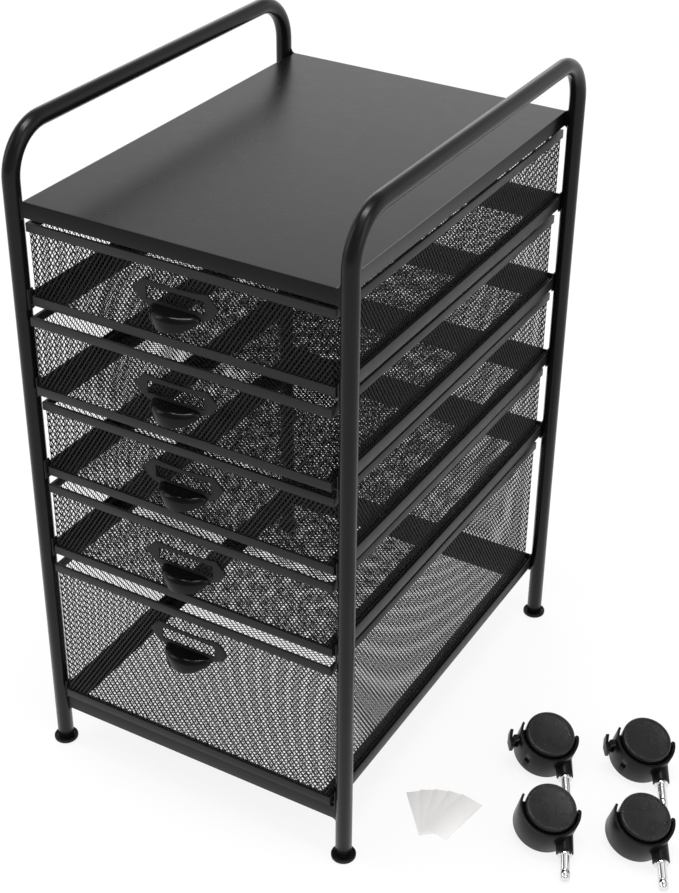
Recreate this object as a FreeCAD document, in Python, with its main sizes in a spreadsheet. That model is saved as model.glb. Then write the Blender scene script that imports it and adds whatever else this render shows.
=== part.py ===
"""Drawer cart: bent-tube frame, five mesh drawers with label pulls, plug-in feet and twin-wheel casters.

Millimetres and degrees. +Z is up, the drawers open towards -Y, and the origin is on the floor, mid-legs.
"""
import FreeCAD, Part
import math
import os
import re

import Sketcher

# Driving sizes, one cell of the sheet each
SIZES = {
    # bent-tube side frames
    "tube_diameter": 16,
    "tube_wall": 1.2,
    "leg_spacing_x": 334,
    "leg_spacing_y": 440,
    "bend_radius": 45,
    "handle_rise": 67.6,
    "weld_gap": 0.05,
    "cut_overrun": 2,
    # plug-in feet
    "foot_lip": 4.2,
    "foot_rim": 1.4,
    "foot_toe": 1.2,
    "foot_seat": 3,
    "foot_dish": 1.2,
    "foot_plug_length": 40,
    "foot_plug_gap": 0.05,
    "socket_clearance": 0.08,
    # top panel
    "panel_top_height": 611,
    "panel_flange": 15,
    "panel_sheet": 1.2,
    "panel_side_gap": 3.4,
    "panel_overhang": 2,
    # rails that carry the drawers
    "rail_sheet": 1.2,
    "rail_flange": 12,
    "ledge_width": 20,
    "back_ledge_width": 36,
    "back_stop_offset": 3.2,
    "flare_radius": 4,
    "flare_tail": 4,
    "rail_tail": 3,
    "strap_tail": 0.6,
    "tier_pitch": 89.6,
    "bottom_ledge_height": 65,
    "panel_drawer_gap": 4.5,
    # bar under the lowest drawer
    "bar_height": 15,
    "bar_ledge": 10,
    "bar_drop": 5.5,
    "bar_setback": 0.6,
    # mesh drawers
    "drawer_side_gap": 3,
    "drawer_front_offset": 1,
    "drawer_back_gap": 1.2,
    "drawer_gap": 9.6,
    "deep_drawer_gap": 11.7,
    "strip_sheet": 1,
    "mesh_sheet": 1,
    "mesh_bar": 9,
    "rim_height": 8.5,
    "base_height": 9,
    "base_lip": 12,
    "drawer_1_ajar": 0.5,
    "drawer_2_ajar": 6,
    "drawer_3_ajar": 1,
    "drawer_4_ajar": 3,
    "drawer_5_ajar": 5,
    # label pulls
    "pull_sheet": 1.5,
    "pull_drop": 20,
    "pull_half_width": 33,
    "pull_frame_height": 20.5,
    "pull_sag": 2.4,
    "ear_length": 10.3,
    "ear_drop": 11,
    "window_width": 59,
    "window_height": 12.5,
    "window_drop": 6.4,
    "cup_half_width": 26.5,
    "cup_top_drop": 21,
    "cup_lip_drop": 25.5,
    "cup_margin": 0.4,
    "cup_depth": 18,
    "cup_fall": 10,
    "cup_shoulder": 6,
    "cup_wall": 1.5,
    # twin-wheel casters
    "wheel_radius": 25.4,
    "wheel_width": 15.5,
    "wheel_half_gap": 4.5,
    "wheel_round": 2.5,
    "wheel_inner_round": 1,
    "wheel_cap": 3,
    "wheel_face_rim": 1.6,
    "wheel_face_dish": 0.4,
    "axle_radius": 3,
    "axle_fit": 0.02,
    "wheel_fit": 0.06,
    "axle_end_gap": 0.5,
    "web_thickness": 6,
    "hub_radius": 6.5,
    "wheel_clearance": 0.8,
    "shroud_gap": 2.6,
    "shroud_wall": 2.4,
    "shroud_half_width": 16.5,
    "shroud_seam": 0.5,
    "shroud_front_angle": -24,
    "shroud_back_angle": 180,
    "shroud_lug_radius": 2.2,
    "stem_diameter": 9.53,
    "stem_offset": 17.2,
    "stem_fit": 0.06,
    "stem_insert": 15,
    "stem_length": 27.4,
    "stem_tip": 1,
    "stem_groove": 0.7,
    "stem_groove_width": 2,
    "stem_ring": 0.3,
    "stem_ring_width": 3.2,
    "stem_ring_drop": 4.5,
    "collar_radius": 7.1,
    "collar_thickness": 3,
    "collar_gap": 0.1,
    "boss_radius": 8.5,
    "boss_rise": 6.6,
    "boss_root": 12,
    # brake lever on two of the casters
    "lever_angle": 2,
    "lever_pivot_rise": 3.4,
    "lever_barrel_radius": 2.6,
    "lever_half_width": 5.2,
    "lever_pin_radius": 1.4,
    "lever_fit": 0.06,
    "lever_ear_width": 2.6,
    "lever_ear_gap": 0.3,
    "lever_ear_radius": 3,
    "lever_reach": 6,
    "lever_thickness": 3.2,
    "lever_hook": 1.5,
    "lever_drop": 10.5,
    "lever_rise": 9,
    "brake_slot_width": 7,
    "brake_slot_height": 4.5,
    "brake_slot_angle": 50,
    # where the four casters lie, how far they lean about their stems, and the way the stems point
    "caster_lean": 9,
    "caster_1_x": 281.4,
    "caster_1_y": -3.4,
    "caster_1_heading": -60.9,
    "caster_2_x": 369.6,
    "caster_2_y": 38.6,
    "caster_2_heading": -62,
    "caster_3_x": 324.9,
    "caster_3_y": -98.1,
    "caster_3_heading": -64,
    "caster_4_x": 408.2,
    "caster_4_y": -63.9,
    "caster_4_heading": -60.8,
    # blank label cards, fanned on the floor
    "card_length": 60,
    "card_width": 25,
    "card_thickness": 0.35,
    "fan_side": 13,
    "fan_drop": 5.5,
    "fan_x": 231.3,
    "fan_y": -155.7,
    "fan_first_angle": 130.3,
    "fan_last_angle": 80.4,
}
DRAWER_COUNT = 5
CASTER_COUNT = 4
BRAKED_CASTER_COUNT = 2
CARD_COUNT = 5
TILT_STEP_COUNT = 40
FRONT_OPENING_COUNT = 8
SIDE_OPENING_COUNT = 12
SHALLOW_OPENING_ROW_COUNT = 2
DEEP_OPENING_ROW_COUNT = 4
QUARTER_TURN_ANGLE = 90
FULL_TURN_ANGLE = 360
EAR_FOOT_SHARE = 0.4

# Faces and levels that several pieces share, as expressions over the sheet
TUBE_RADIUS = "(tube_diameter / 2)"
LEG_X = "(leg_spacing_x / 2)"
LEG_Y = "(leg_spacing_y / 2)"
FRAME_HEIGHT = "(panel_top_height + handle_rise)"
RAIL_OUTER = f"({LEG_X} - {TUBE_RADIUS} - weld_gap)"
RAIL_INNER = f"({RAIL_OUTER} - rail_sheet)"
BACK_STOP = f"({LEG_Y} + back_stop_offset)"
BACK_LEDGE_FRONT = f"({BACK_STOP} - back_ledge_width)"
SHALLOW_HEIGHT = "(tier_pitch - drawer_gap)"
FIRST_LEDGE = f"(panel_top_height - panel_flange - panel_drawer_gap - {SHALLOW_HEIGHT})"
DRAWER_HALF_WIDTH = f"({RAIL_INNER} - drawer_side_gap)"
DRAWER_DEPTH = f"({LEG_Y} + drawer_front_offset + {BACK_STOP} - drawer_back_gap)"
SOCKET_RADIUS = "(stem_diameter / 2 + socket_clearance)"
SHROUD_INNER = "(wheel_radius + shroud_gap)"
SHROUD_OUTER = f"({SHROUD_INNER} + shroud_wall)"
BOSS_TOP = f"({SHROUD_OUTER} + boss_rise)"
STEM_TIP = f"({BOSS_TOP} + stem_length)"
WHEEL_OUTER = "(wheel_half_gap + wheel_width)"

doc = FreeCAD.newDocument("drawer_cart")
sheet = doc.addObject("Spreadsheet::Sheet", "Sizes")
for row, (alias, size) in enumerate(SIZES.items(), start=1):
    sheet.set(f"A{row}", alias)
    sheet.set(f"B{row}", str(size))
    sheet.setAlias(f"B{row}", alias)
doc.recompute()
nodes = []


def over_sheet(expression):
    """Point each size name of an expression at the sheet."""

    def point(word):
        return f"Sizes.{word[0]}" if word[0] in SIZES else word[0]

    return re.sub(r"\b[a-z]\w*", point, expression)


def number(expression):
    """Value of an expression over the sheet."""
    return float(sheet.evalExpression(over_sheet(expression)))


def bind(item, path, expression):
    """Tie one property of an object to an expression over the sheet."""
    item.setExpression(path, over_sheet(expression))


def keep(item):
    """Hand an object on as a node of its own."""
    nodes.append(item)
    return item


# Sketches and features


def fix(sketch, kind, spot, expression):
    """Hold one dimension of a sketch to an expression over the sheet."""
    index = sketch.addConstraint(Sketcher.Constraint(kind, *spot, number(expression)))
    bind(sketch, f"Constraints[{index}]", expression)


def arc_between(start, stop, radius, turn):
    """Arc of under half a circle; turn is 1 for anticlockwise from start to stop and -1 for clockwise."""
    chord = stop - start
    rise = math.sqrt(max(radius ** 2 - chord.Length ** 2 / 4, 0))
    left = FreeCAD.Vector(-chord.y, chord.x, 0).normalize()
    centre = (start + stop) / 2 + left * (rise * turn)
    first, last = (start, stop) if turn > 0 else (stop, start)
    angles = [math.atan2(spot.y - centre.y, spot.x - centre.x) for spot in (first, last)]
    circle = Part.Circle(centre, FreeCAD.Vector(0, 0, 1), radius)
    return Part.ArcOfCircle(circle, angles[0], angles[1])


def draw_run(sketch, corners, closed):
    """Draw lines through the corners; a corner with a radius and a turn starts an arc instead."""
    spots = [FreeCAD.Vector(number(corner[0]), number(corner[1]), 0) for corner in corners]
    count = len(corners) if closed else len(corners) - 1
    ends = []
    for index in range(count):
        start = spots[index]
        stop = spots[(index + 1) % len(corners)]
        if len(corners[index]) == 2:
            sketch.addGeometry(Part.LineSegment(start, stop))
            ends.append((1, 2))
        else:
            radius, turn = corners[index][2:]
            sketch.addGeometry(arc_between(start, stop, number(radius), turn))
            ends.append((1, 2) if turn > 0 else (2, 1))
    first = sketch.GeometryCount - count
    for index in range(count):
        edge = first + index
        following = (index + 1) % count
        if closed or following:
            joint = (edge, ends[index][1], first + following, ends[following][0])
            sketch.addConstraint(Sketcher.Constraint("Coincident", *joint))
        fix(sketch, "DistanceX", (-1, 1, edge, ends[index][0]), corners[index][0])
        fix(sketch, "DistanceY", (-1, 1, edge, ends[index][0]), corners[index][1])
        if len(corners[index]) > 2:
            fix(sketch, "Radius", (edge,), corners[index][2])
    if not closed:
        fix(sketch, "DistanceX", (-1, 1, edge, ends[-1][1]), corners[-1][0])
        fix(sketch, "DistanceY", (-1, 1, edge, ends[-1][1]), corners[-1][1])


def loop(*corners):
    """Closed outline for a feature."""
    return lambda sketch: draw_run(sketch, corners, closed=True)


def path(*corners):
    """Open line for a pipe to follow."""
    return lambda sketch: draw_run(sketch, corners, closed=False)


def ring(across, up, radius):
    """Circle for a feature."""

    def draw(sketch):
        centre = FreeCAD.Vector(number(across), number(up), 0)
        edge = sketch.addGeometry(Part.Circle(centre, FreeCAD.Vector(0, 0, 1), number(radius)))
        fix(sketch, "DistanceX", (-1, 1, edge, 3), across)
        fix(sketch, "DistanceY", (-1, 1, edge, 3), up)
        fix(sketch, "Radius", (edge,), radius)

    return draw


def rectangle(left, right, low, high):
    """Closed rectangle for a feature."""
    return loop((left, low), (right, low), (right, high), (left, high))


def new_body(label):
    """Empty body with its own label."""
    body = doc.addObject("PartDesign::Body", label)
    body.Label = label
    return body


# The origin plane across each axis, and whether its normal points along that axis
PLANES = {"X": ("YZ_Plane", True), "Y": ("XZ_Plane", False), "Z": ("XY_Plane", True)}


def add_sketch(body, axis, place, *drawings):
    """Sketch across an axis at a place along it: Y and Z for X, X and Z for Y, X and Y for Z."""
    role, along = PLANES[axis]
    sketch = body.newObject("Sketcher::SketchObject", f"{body.Label}_sketch")
    plane = next(feature for feature in body.Origin.OriginFeatures if feature.Role == role)
    sketch.AttachmentSupport = [(plane, "")]
    sketch.MapMode = "FlatFace"
    bind(sketch, "AttachmentOffset.Base.z", place if along else f"-({place})")
    for draw in drawings:
        draw(sketch)
    return sketch


def extrude(body, axis, start, length, *drawings):
    """Add material from start, for a length, along an axis."""
    sketch = add_sketch(body, axis, start, *drawings)
    pad = body.newObject("PartDesign::Pad", f"{body.Label}_pad")
    pad.Profile = sketch
    pad.Reversed = not PLANES[axis][1]
    bind(pad, "Length", length)
    return pad


def cut(body, axis, start, length, *drawings):
    """Take material away from start, for a length, along an axis."""
    sketch = add_sketch(body, axis, start, *drawings)
    pocket = body.newObject("PartDesign::Pocket", f"{body.Label}_pocket")
    pocket.Profile = sketch
    pocket.Reversed = PLANES[axis][1]
    bind(pocket, "Length", length)
    return pocket


def turn_profile(body, axis_name, place, *corners):
    """Revolve an outline drawn in X and Z, at a place along Y, about one of its sketch's axes."""
    sketch = add_sketch(body, "Y", place, loop(*corners))
    revolution = body.newObject("PartDesign::Revolution", f"{body.Label}_turned")
    revolution.Profile = sketch
    revolution.ReferenceAxis = (sketch, [axis_name])
    revolution.Angle = FULL_TURN_ANGLE
    return revolution


def box(label, x_range, y_range, z_range):
    """Box between two expressions on each axis."""
    block = doc.addObject("Part::Box", label)
    for axis, size, (low, high) in zip("xyz", ("Length", "Width", "Height"), (x_range, y_range, z_range)):
        bind(block, size, f"({high}) - ({low})")
        bind(block, f"Placement.Base.{axis}", low)
    return block


def boolean(kind, label, base, tool):
    """Join, cut or intersect two objects."""
    item = doc.addObject(f"Part::{kind}", label)
    item.Base = base
    item.Tool = tool
    return item


def group(label, items):
    """Separate solids that share one node."""
    compound = doc.addObject("Part::Compound", label)
    compound.Links = items
    return compound


# Frame


def side_frame(label, side):
    """One tube, bent over from the front leg through the handle to the back leg."""
    body = new_body(label)
    straight = f"{FRAME_HEIGHT} - {TUBE_RADIUS} - bend_radius"
    top = f"{FRAME_HEIGHT} - {TUBE_RADIUS}"
    line = path(
        (f"-{LEG_Y}", "foot_seat"),
        (f"-{LEG_Y}", straight, "bend_radius", -1),
        (f"-{LEG_Y} + bend_radius", top),
        (f"{LEG_Y} - bend_radius", top, "bend_radius", -1),
        (LEG_Y, straight),
        (LEG_Y, "foot_seat"),
    )
    spine = add_sketch(body, "X", f"{side} * {LEG_X}", line)
    outer = ring(f"{side} * {LEG_X}", f"-{LEG_Y}", TUBE_RADIUS)
    bore = ring(f"{side} * {LEG_X}", f"-{LEG_Y}", f"{TUBE_RADIUS} - tube_wall")
    section = add_sketch(body, "Z", "foot_seat", outer, bore)
    pipe = body.newObject("PartDesign::AdditivePipe", f"{label}_pipe")
    pipe.Profile = section
    pipe.Spine = (spine, [f"Edge{edge}" for edge in range(1, spine.GeometryCount + 1)])
    return keep(body)


def foot(label, side, end):
    """Plug that closes a leg, with a socket for a caster stem and a dished lip under the tube."""
    body = new_body(label)
    outer = f"({TUBE_RADIUS} + foot_lip)"
    plug = f"({TUBE_RADIUS} - tube_wall - foot_plug_gap)"
    turn_profile(
        body,
        "V_Axis",
        "0",
        (SOCKET_RADIUS, "0"),
        (f"{outer} - foot_toe", "0"),
        (outer, "foot_toe"),
        (outer, "foot_seat + foot_dish"),
        (f"{outer} - foot_rim", "foot_seat + foot_dish"),
        (f"{outer} - foot_rim - foot_dish", "foot_seat"),
        (plug, "foot_seat"),
        (plug, "foot_seat + foot_plug_length"),
        (SOCKET_RADIUS, "foot_seat + foot_plug_length"),
    )
    bind(body, "Placement.Base.x", f"{side} * {LEG_X}")
    bind(body, "Placement.Base.y", f"{end} * {LEG_Y}")
    return body


def flared_strap(low, high, flare_start, reach):
    """Strap between two posts: its ends widen in quarter rounds, then run straight to reach."""
    bottom = f"{low} - flare_radius"
    top = f"{high} + flare_radius"
    neck = f"({flare_start} - flare_radius)"
    return loop(
        (f"-{reach}", bottom),
        (f"-{flare_start}", bottom, "flare_radius", -1),
        (f"-{neck}", low),
        (neck, low, "flare_radius", -1),
        (flare_start, bottom),
        (reach, bottom),
        (reach, top),
        (flare_start, top, "flare_radius", -1),
        (neck, high),
        (f"-{neck}", high, "flare_radius", -1),
        (f"-{flare_start}", top),
        (f"-{reach}", top),
    )


def leg_side(offset):
    """How far out a sheet reaches to the side of a leg, at an offset from the plane of the legs."""
    return f"({LEG_X} - sqrt(({TUBE_RADIUS} + weld_gap) ^ 2 - ({offset}) ^ 2))"


def cross_strap(low, high, offset):
    """Flared strap from leg to leg."""
    reach = leg_side(offset)
    return flared_strap(low, high, f"({reach} - strap_tail)", reach)


def top_panel():
    """Folded sheet: a flat top with four flanges, the front and back ones flared out to the legs."""
    body = new_body("top_panel")
    half_x = f"({LEG_X} - {TUBE_RADIUS} - panel_side_gap)"
    half_y = f"({LEG_Y} + panel_overhang)"
    low = "(panel_top_height - panel_flange)"
    extrude(body, "Z", low, "panel_flange", rectangle(f"-{half_x}", half_x, f"-{half_y}", half_y))
    inner_x = f"({half_x} - panel_sheet)"
    inner_y = f"({half_y} - panel_sheet)"
    hollow = rectangle(f"-{inner_x}", inner_x, f"-{inner_y}", inner_y)
    cut(body, "Z", f"{low} - cut_overrun", "panel_flange - panel_sheet + cut_overrun", hollow)
    strap = cross_strap(low, "panel_top_height", "panel_overhang - panel_sheet")
    extrude(body, "Y", f"-{half_y}", "panel_sheet", strap)
    extrude(body, "Y", inner_y, "panel_sheet", strap)
    return keep(body)


def ledge_level(tier):
    """Height of the ledge that a drawer stands on."""
    return "bottom_ledge_height" if tier == DRAWER_COUNT else f"({FIRST_LEDGE} - {tier - 1} * tier_pitch)"


def side_rail(label, tier, side):
    """Angle rail: an upright flange welded to both legs, and the ledge that a drawer slides on."""
    body = new_body(label)
    level = ledge_level(tier)
    low = f"({level} - rail_sheet)"
    reach = f"({LEG_Y} + rail_tail)"
    flange = flared_strap(low, f"({low} + rail_flange)", f"({LEG_Y} - flare_tail)", reach)
    extrude(body, "X", RAIL_INNER if side > 0 else f"-{RAIL_OUTER}", "rail_sheet", flange)
    inner = f"({RAIL_OUTER} - ledge_width)"
    left, right = (inner, RAIL_INNER) if side > 0 else (f"-{RAIL_INNER}", f"-{inner}")
    extrude(body, "Z", low, "rail_sheet", rectangle(left, right, f"-{LEG_Y}", BACK_LEDGE_FRONT))
    return keep(body)


def back_rail(tier):
    """Wide ledge between the back legs with an upright flange that stops the drawer."""
    body = new_body(f"back_rail_{tier}")
    level = ledge_level(tier)
    low = f"({level} - rail_sheet)"
    flange = cross_strap(low, f"({low} + rail_flange)", "back_stop_offset")
    extrude(body, "Y", BACK_STOP, "rail_sheet", flange)
    half_x = f"({RAIL_INNER} - weld_gap)"
    extrude(body, "Z", low, "rail_sheet", rectangle(f"-{half_x}", half_x, BACK_LEDGE_FRONT, BACK_STOP))
    return body


def bottom_front_bar():
    """Angle bar between the front legs, under the lowest drawer, notched round the lowest rails."""
    body = new_body("bottom_front_bar")
    top = "(bottom_ledge_height - bar_drop)"
    low = f"({top} - bar_height)"
    face = f"(-{LEG_Y} - bar_setback)"
    extrude(body, "Y", face, "rail_sheet", cross_strap(low, top, "0"))
    near = f"({RAIL_INNER} - weld_gap)"
    far = f"({RAIL_OUTER} + cut_overrun)"
    under = "bottom_ledge_height - rail_sheet - flare_radius - weld_gap"
    over = f"{top} + flare_radius + cut_overrun"
    for left, right in ((near, far), (f"-{far}", f"-{near}")):
        notch = rectangle(left, right, under, over)
        cut(body, "Y", f"{face} - cut_overrun", "rail_sheet + 2 * cut_overrun", notch)
    half_x = f"({RAIL_INNER} - weld_gap)"
    ledge = rectangle(f"-{half_x}", half_x, face, f"{face} + rail_sheet + bar_ledge")
    extrude(body, "Z", f"{top} - rail_sheet", "rail_sheet", ledge)
    return keep(body)


# Drawers


def drawer_spans(tier):
    """Outer spans of a drawer as it stands, a little ajar: half width, front, back, bottom and top."""
    height = SHALLOW_HEIGHT
    if tier == DRAWER_COUNT:
        height = f"({ledge_level(tier - 1)} - bottom_ledge_height - deep_drawer_gap)"
    front = f"(-{LEG_Y} - drawer_front_offset - drawer_{tier}_ajar)"
    low = ledge_level(tier)
    return DRAWER_HALF_WIDTH, front, f"({front} + {DRAWER_DEPTH})", low, f"({low} + {height})"


def drawer_block(label, spans, inset, low, high):
    """Box inside the drawer's outer faces, set in by an inset on all four sides."""
    half_x, front, back = spans[:3]
    x_range = (f"-{half_x} + {inset}", f"{half_x} - {inset}")
    return box(label, x_range, (f"{front} + {inset}", f"{back} - {inset}"), (low, high))


def opening_grid(body, axis, start, length, across, up):
    """Grid of openings through a sheet; across and up each give the span and the number of openings."""
    steps = [f"((({span[1]}) - ({span[0]})) / {span[2]})" for span in (across, up)]
    edges = []
    for span, step in zip((across, up), steps):
        edges += [f"{span[0]} + mesh_bar / 2", f"{span[0]} + {step} - mesh_bar / 2"]
    pocket = cut(body, axis, start, length, rectangle(*edges))
    sketch = pocket.Profile[0]
    pattern = body.newObject("PartDesign::LinearPattern", f"{body.Label}_openings")
    pattern.Originals = [pocket]
    pattern.Mode = pattern.Mode2 = "Spacing"
    pattern.Direction = (sketch, ["H_Axis"])
    pattern.Direction2 = (sketch, ["V_Axis"])
    bind(pattern, "Offset", steps[0])
    bind(pattern, "Offset2", steps[1])
    pattern.Occurrences = across[2]
    pattern.Occurrences2 = up[2]
    body.Tip = pattern


def drawer_tray(name, spans, rows):
    """Open box of mesh, floor and four walls, with the mesh drawn as a grid of wide openings."""
    body = new_body(f"{name}_tray")
    half_x, front, back, low, high = spans
    foot_z = f"({low} + strip_sheet)"
    head_z = f"({high} - strip_sheet)"
    x = f"({half_x} - strip_sheet)"
    y_range = (f"({front} + strip_sheet)", f"({back} - strip_sheet)")
    extrude(body, "Z", foot_z, f"{head_z} - {foot_z}", rectangle(f"-{x}", x, *y_range))
    inner_x = f"({x} - mesh_sheet)"
    inner_y = (f"({y_range[0]} + mesh_sheet)", f"({y_range[1]} - mesh_sheet)")
    inside = rectangle(f"-{inner_x}", inner_x, *inner_y)
    cut(body, "Z", f"{foot_z} + mesh_sheet", f"{high} - {foot_z}", inside)
    across = (f"-{inner_x}", inner_x, FRONT_OPENING_COUNT)
    along = (*inner_y, SIDE_OPENING_COUNT)
    up = (f"({low} + base_height)", f"({high} - rim_height)", rows)
    depth = f"{back} - ({front}) + 2 * cut_overrun"
    opening_grid(body, "Y", f"{front} - cut_overrun", depth, across, up)
    opening_grid(body, "X", f"-{half_x} - cut_overrun", f"2 * ({half_x} + cut_overrun)", along, up)
    opening_grid(body, "Z", f"{foot_z} - cut_overrun", "mesh_sheet + 2 * cut_overrun", across, along)
    return keep(body)


def drawer_rim(name, spans):
    """Channel folded over the top edge of the mesh, all the way round."""
    low = f"({spans[4]} - rim_height)"
    under = f"{low} - cut_overrun"
    over = f"{spans[4]} + cut_overrun"
    outer = drawer_block(f"{name}_rim_outer", spans, "0", low, spans[4])
    inner = drawer_block(f"{name}_rim_inner", spans, "(2 * strip_sheet + mesh_sheet)", under, over)
    roof = f"{spans[4]} - strip_sheet"
    slot_outer = drawer_block(f"{name}_slot_outer", spans, "strip_sheet", under, roof)
    slot_inner = drawer_block(f"{name}_slot_inner", spans, "(strip_sheet + mesh_sheet)", under, over)
    band = boolean("Cut", f"{name}_rim_band", outer, inner)
    slot = boolean("Cut", f"{name}_rim_slot", slot_outer, slot_inner)
    return keep(boolean("Cut", f"{name}_rim", band, slot))


def drawer_base_strip(name, spans):
    """Angle strip round the foot of the mesh: an upright band and a lip that slides on the ledges."""
    low = spans[3]
    top = f"{low} + base_height"
    over = f"{top} + cut_overrun"
    outer = drawer_block(f"{name}_base_outer", spans, "0", low, top)
    inner = drawer_block(f"{name}_base_inner", spans, "strip_sheet", f"{low} + strip_sheet", over)
    centre = drawer_block(f"{name}_base_centre", spans, "base_lip", f"{low} - cut_overrun", over)
    band = boolean("Cut", f"{name}_base_band", outer, inner)
    return keep(boolean("Cut", f"{name}_base_strip", band, centre))


def pull_cup(body):
    """Round finger cup behind a shoulder, open below, whose mouth slopes down to the front."""
    reach = "((cup_half_width ^ 2 + cup_depth ^ 2) / (2 * cup_depth))"
    axis_y = f"(-pull_sheet - cup_depth + {reach})"
    top = "(-cup_top_drop)"
    low = "(-cup_lip_drop - cup_fall - cut_overrun)"
    inside = f"({reach} - cup_wall)"
    turn_profile(
        body,
        "V_Axis",
        axis_y,
        ("0", f"{top} - cup_wall"),
        (f"{reach} - cup_shoulder", f"{top} - cup_wall", "(cup_shoulder - cup_wall)", -1),
        (inside, f"{top} - cup_shoulder"),
        (inside, low),
        (reach, low),
        (reach, f"{top} - cup_shoulder", "cup_shoulder", 1),
        (f"{reach} - cup_shoulder", top),
        ("0", top),
    )
    span = f"({reach} + cut_overrun)"
    back = f"({axis_y} + {span})"
    cut(body, "X", f"-{span}", f"2 * {span}", rectangle("-pull_sheet", back, low, f"{top} + cut_overrun"))
    slope = "(cup_fall / cup_depth)"
    under = f"({low} - cut_overrun)"
    front = "(-pull_sheet - cup_depth - cut_overrun)"
    mouth = loop(
        (front, under),
        ("0", under),
        ("0", f"-cup_lip_drop + {slope} * pull_sheet"),
        (front, f"-cup_lip_drop - {slope} * (cup_depth + cut_overrun)"),
    )
    cut(body, "X", f"-{span}", f"2 * {span}", mouth)


def pull_plate(body):
    """Label frame with an ear at each end, a window, and a tongue that carries the cup."""
    tip = "(pull_half_width + ear_length)"
    foot_x = f"(pull_half_width + {EAR_FOOT_SHARE} * ear_length)"
    tongue = "(cup_half_width + cup_margin)"
    sag_radius = "((pull_half_width ^ 2 + pull_sag ^ 2) / (2 * pull_sag))"
    shape = loop(
        ("-pull_half_width", "0", sag_radius, 1),
        ("pull_half_width", "0"),
        (tip, "-ear_drop"),
        (foot_x, "-pull_frame_height"),
        (tongue, "-cup_lip_drop"),
        (f"-{tongue}", "-cup_lip_drop"),
        (f"-{foot_x}", "-pull_frame_height"),
        (f"-{tip}", "-ear_drop"),
    )
    extrude(body, "Y", "-pull_sheet", "pull_sheet", shape)
    half = "window_width / 2"
    window = rectangle(f"-{half}", half, "-window_drop - window_height", "-window_drop")
    cut(body, "Y", "-pull_sheet - cut_overrun", "pull_sheet + 2 * cut_overrun", window)


def drawer_pull(name, spans):
    """Label frame and finger cup in one, on the mesh of the drawer front."""
    body = new_body(f"{name}_pull")
    pull_cup(body)
    pull_plate(body)
    bind(body, "Placement.Base.y", f"{spans[1]} + strip_sheet")
    bind(body, "Placement.Base.z", f"{spans[4]} - pull_drop")
    return keep(body)


def drawer(tier):
    """All the pieces of one drawer."""
    name = f"drawer_{tier}"
    spans = drawer_spans(tier)
    rows = DEEP_OPENING_ROW_COUNT if tier == DRAWER_COUNT else SHALLOW_OPENING_ROW_COUNT
    drawer_tray(name, spans, rows)
    drawer_rim(name, spans)
    drawer_base_strip(name, spans)
    drawer_pull(name, spans)


# Casters, each drawn about its wheel centre with the axle along X and the stem along Z


def polar(radius, angle):
    """Point at a radius and an angle in degrees."""
    return f"{radius} * cos({angle} * 1 deg)", f"{radius} * sin({angle} * 1 deg)"


def arch(radius, inner=None):
    """Part of a disc, or of a ring where inner is given, from the front angle over to the back angle."""
    middle = "(shroud_front_angle + shroud_back_angle) / 2"
    outside = [
        (*polar(radius, "shroud_front_angle"), radius, 1),
        (*polar(radius, middle), radius, 1),
        polar(radius, "shroud_back_angle"),
    ]
    if inner is None:
        return loop(*outside, ("-hub_radius", "-hub_radius"), ("hub_radius", "-hub_radius"))
    inside = [
        (*polar(inner, "shroud_back_angle"), inner, -1),
        (*polar(inner, middle), inner, -1),
        polar(inner, "shroud_front_angle"),
    ]
    return loop(*outside, *inside)


LEVER_Y, LEVER_Z = (f"({part})" for part in polar(f"({SHROUD_OUTER} + lever_pivot_rise)", "lever_angle"))
EAR_START = "(lever_half_width + lever_ear_gap)"


def brake_ears(body):
    """Two ears on the shroud with the holes that the brake lever turns in."""
    inner_y, inner_z = polar(f"({SHROUD_INNER} + shroud_seam)", "lever_angle")
    ear = loop(
        (inner_y, f"{inner_z} - lever_ear_radius"),
        (LEVER_Y, f"{LEVER_Z} - lever_ear_radius", "lever_ear_radius", 1),
        (f"{LEVER_Y} + lever_ear_radius", LEVER_Z, "lever_ear_radius", 1),
        (LEVER_Y, f"{LEVER_Z} + lever_ear_radius"),
        (inner_y, f"{inner_z} + lever_ear_radius"),
    )
    extrude(body, "X", EAR_START, "lever_ear_width", ear)
    extrude(body, "X", f"-{EAR_START} - lever_ear_width", "lever_ear_width", ear)
    reach = f"({EAR_START} + lever_ear_width + cut_overrun)"
    cut(body, "X", f"-{reach}", f"2 * {reach}", ring(LEVER_Y, LEVER_Z, "lever_pin_radius + lever_fit"))


def brake_slot(body):
    """Slot in the shroud that the brake shoe shows through."""
    middle = polar(SHROUD_INNER, "brake_slot_angle")[1]
    low = f"{middle} - brake_slot_height / 2"
    slot = rectangle("-brake_slot_width / 2", "brake_slot_width / 2", low, f"{low} + brake_slot_height")
    start = f"{polar(SHROUD_INNER, 'brake_slot_angle')[0]} - brake_slot_height"
    cut(body, "Y", start, "shroud_wall + 2 * brake_slot_height", slot)


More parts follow.
